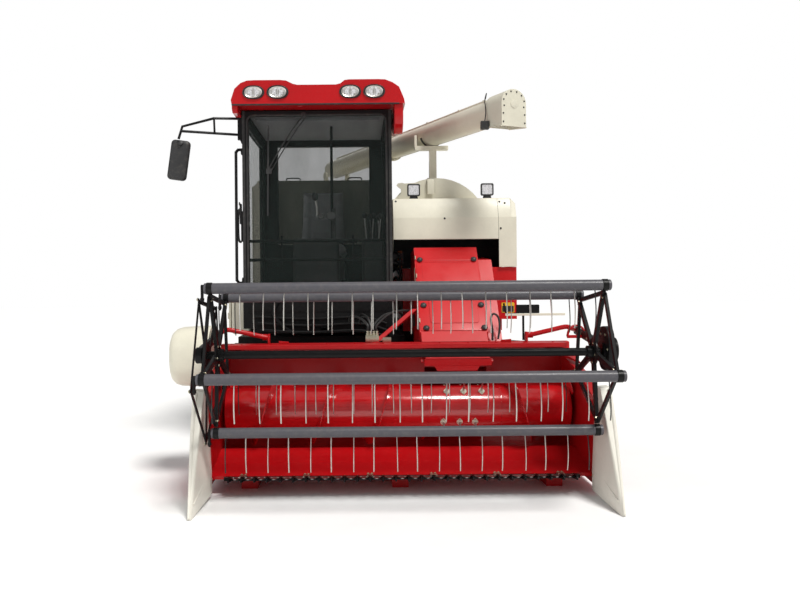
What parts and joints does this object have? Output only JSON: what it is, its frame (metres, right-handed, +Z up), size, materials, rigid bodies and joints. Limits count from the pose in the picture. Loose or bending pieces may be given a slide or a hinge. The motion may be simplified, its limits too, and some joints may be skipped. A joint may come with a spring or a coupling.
{
  "type": "combine harvester",
  "caption": "Tracked combine harvester with a lifting header, tined reel, glazed side cab, threshing body, grain tank and swinging unloading auger.",
  "frame": {"origin": "centre of the bounding box on the ground", "axes": "+Z up, the front and the header towards -Y, +X the machine's own left"},
  "size_m": [2.946, 5.1108, 2.787],
  "materials": {
    "track_left": "moulded",
    "track_right": "moulded",
    "track_frame_left": "satin black paint",
    "track_frame_right": "satin black paint",
    "sprocket_left": "cast",
    "sprocket_right": "cast",
    "drive_axle": "cast",
    "chassis_frame": "satin black paint",
    "thresher_lower": "gloss red paint",
    "thresher_upper": "satin cream paint",
    "front_hood": "satin cream paint",
    "side_panel_front": "gloss red paint",
    "grain_tank": "satin cream paint",
    "engine": "cast",
    "engine_side_housing": "satin cream paint",
    "fuel_tank": "moulded",
    "step": "satin black paint",
    "straw_hood": "gloss red paint",
    "cab_base": "satin black paint",
    "cab_frame": "satin black paint",
    "windscreen": "tinted",
    "side_window": "tinted",
    "rear_window": "tinted",
    "cab_door": "satin black paint",
    "door_glass": "tinted",
    "cab_roof": "gloss red paint",
    "seat": "seat cover",
    "side_console": "moulded",
    "steering_console": "moulded",
    "grab_rail": "satin black paint",
    "mirror_arm": "satin black paint",
    "mirror_head": "moulded",
    "cradle": "satin cream paint",
    "side_door": "satin cream paint",
    "radiator_door": "satin cream paint",
    "straw_deflector": "gloss red paint",
    "auger_column": "satin cream paint",
    "unload_turret": "satin cream paint",
    "unload_tube": "satin cream paint",
    "unload_spout": "satin cream paint",
    "feeder_house": "gloss red paint",
    "feeder_drive_cover": "gloss red paint",
    "header_trough": "gloss red paint",
    "header_beam": "gloss red paint",
    "divider_left": "satin cream paint",
    "divider_right": "satin cream paint",
    "header_drive_cover": "satin cream paint",
    "cutter_bar": "cast",
    "knife": "bare and galvanised",
    "header_auger": "gloss red paint",
    "reel_arm_left": "satin black paint",
    "reel_arm_right": "satin black paint",
    "reel_spider": "satin black paint",
    "reel_ring": "satin black paint",
    "reel_bat_1": "blue-grey paint",
    "reel_bat_2": "blue-grey paint",
    "reel_bat_3": "blue-grey paint",
    "reel_bat_4": "blue-grey paint",
    "reel_bat_5": "blue-grey paint"
  },
  "bodies": {
    "machine": {"track_left": "track_left", "track_right": "track_right", "track_frame_left": "track_frame_left", "track_frame_right": "track_frame_right", "sprocket_left": "sprocket_left", "sprocket_right": "sprocket_right", "drive_axle": "drive_axle", "chassis_frame": "chassis_frame", "thresher_lower": "thresher_lower", "thresher_upper": "thresher_upper", "front_hood": "front_hood", "side_panel_front": "side_panel_front", "grain_tank": "grain_tank", "engine": "engine", "engine_side_housing": "engine_side_housing", "fuel_tank": "fuel_tank", "step": "step", "straw_hood": "straw_hood", "cab_base": "cab_base", "cab_frame": "cab_frame", "windscreen": "windscreen", "side_window": "side_window", "rear_window": "rear_window", "cab_roof": "cab_roof", "seat": "seat", "side_console": "side_console", "steering_console": "steering_console", "grab_rail": "grab_rail", "mirror_arm": "mirror_arm", "mirror_head": "mirror_head", "cradle": "cradle", "auger_column": "auger_column"},
    "header": {"feeder_house": "feeder_house", "feeder_drive_cover": "feeder_drive_cover", "header_trough": "header_trough", "header_beam": "header_beam", "divider_left": "divider_left", "divider_right": "divider_right", "header_drive_cover": "header_drive_cover", "cutter_bar": "cutter_bar"},
    "knife_body": {"knife": "knife"},
    "auger_body": {"header_auger": "header_auger"},
    "reel_arms": {"reel_arm_left": "reel_arm_left", "reel_arm_right": "reel_arm_right"},
    "reel_rotor": {"reel_spider": "reel_spider"},
    "ring_body": {"reel_ring": "reel_ring"},
    "turret": {"unload_turret": "unload_turret"},
    "boom": {"unload_tube": "unload_tube", "unload_spout": "unload_spout"},
    "door": {"cab_door": "cab_door", "door_glass": "door_glass"},
    "side_door_body": {"side_door": "side_door"},
    "radiator_door_body": {"radiator_door": "radiator_door"},
    "deflector_body": {"straw_deflector": "straw_deflector"},
    "bat_1": {"reel_bat_1": "reel_bat_1"},
    "bat_2": {"reel_bat_2": "reel_bat_2"},
    "bat_3": {"reel_bat_3": "reel_bat_3"},
    "bat_4": {"reel_bat_4": "reel_bat_4"},
    "bat_5": {"reel_bat_5": "reel_bat_5"}
  },
  "joints": [
    {"name": "header_lift", "type": "hinge", "parent": "machine", "child": "header", "pos_m": [0.6625, -0.32, 1.42], "axis": [-1, 0, 0], "range_deg": [0, 20]},
    {"name": "auger_spin", "type": "hinge", "parent": "header", "child": "auger_body", "pos_m": [0.24, -1.42, 0.44], "axis": [1, 0, 0], "continuous": true},
    {"name": "knife_slide", "type": "slide", "parent": "header", "child": "knife_body", "axis": [1, 0, 0], "range_m": [-0.038, 0.038]},
    {"name": "reel_lift", "type": "hinge", "parent": "header", "child": "reel_arms", "pos_m": [0.24, -1.175, 0.9], "axis": [-1, 0, 0], "range_deg": [0, 25]},
    {"name": "reel_spin", "type": "hinge", "parent": "reel_arms", "child": "reel_rotor", "pos_m": [0.24, -2.09, 0.868], "axis": [1, 0, 0], "continuous": true},
    {"name": "ring_spin", "type": "hinge", "parent": "reel_arms", "child": "ring_body", "pos_m": [-0.888, -2.09, 0.808], "axis": [1, 0, 0], "continuous": true},
    {"name": "bat_1_pivot", "type": "hinge", "parent": "reel_rotor", "child": "bat_1", "pos_m": [0.24, -2.52535, 0.78338], "axis": [1, 0, 0], "continuous": true},
    {"name": "bat_2_pivot", "type": "hinge", "parent": "reel_rotor", "child": "bat_2", "pos_m": [0.24, -2.30501, 1.25589], "axis": [1, 0, 0], "continuous": true},
    {"name": "bat_3_pivot", "type": "hinge", "parent": "reel_rotor", "child": "bat_3", "pos_m": [0.24, -1.78753, 1.19236], "axis": [1, 0, 0], "continuous": true},
    {"name": "bat_4_pivot", "type": "hinge", "parent": "reel_rotor", "child": "bat_4", "pos_m": [0.24, -1.68805, 0.68057], "axis": [1, 0, 0], "continuous": true},
    {"name": "bat_5_pivot", "type": "hinge", "parent": "reel_rotor", "child": "bat_5", "pos_m": [0.24, -2.14405, 0.42781], "axis": [1, 0, 0], "continuous": true},
    {"name": "unload_swing", "type": "hinge", "parent": "machine", "child": "turret", "pos_m": [-0.25, 1.9, 2.3], "axis": [0, 0, 1], "range_deg": [0, 150]},
    {"name": "unload_lift", "type": "hinge", "parent": "turret", "child": "boom", "pos_m": [-0.25, 1.9, 2.44], "axis": [-0.9091, -0.4166, 0], "range_deg": [0, 30]},
    {"name": "cab_door_hinge", "type": "hinge", "parent": "machine", "child": "door", "pos_m": [-0.903, 0.351, 1.9], "axis": [0, 0, -1], "range_deg": [0, 80]},
    {"name": "side_door_hinge", "type": "hinge", "parent": "machine", "child": "side_door_body", "pos_m": [1.219, 0.02, 1.3], "axis": [0, 0, -1], "range_deg": [0, 110]},
    {"name": "radiator_door_hinge", "type": "hinge", "parent": "machine", "child": "radiator_door_body", "pos_m": [-1.071, 0.44, 1], "axis": [0, 0, -1], "range_deg": [0, 100]},
    {"name": "deflector_hinge", "type": "hinge", "parent": "machine", "child": "deflector_body", "pos_m": [0.78, 2.474, 1.5], "axis": [1, 0, 0], "range_deg": [0, 60]}
  ],
  "couplings": [
    {"joint": "bat_1_pivot", "follows": "reel_spin", "ratio": -1},
    {"joint": "bat_2_pivot", "follows": "reel_spin", "ratio": -1},
    {"joint": "bat_3_pivot", "follows": "reel_spin", "ratio": -1},
    {"joint": "bat_4_pivot", "follows": "reel_spin", "ratio": -1},
    {"joint": "bat_5_pivot", "follows": "reel_spin", "ratio": -1},
    {"joint": "ring_spin", "follows": "reel_spin", "ratio": 1}
  ]
}
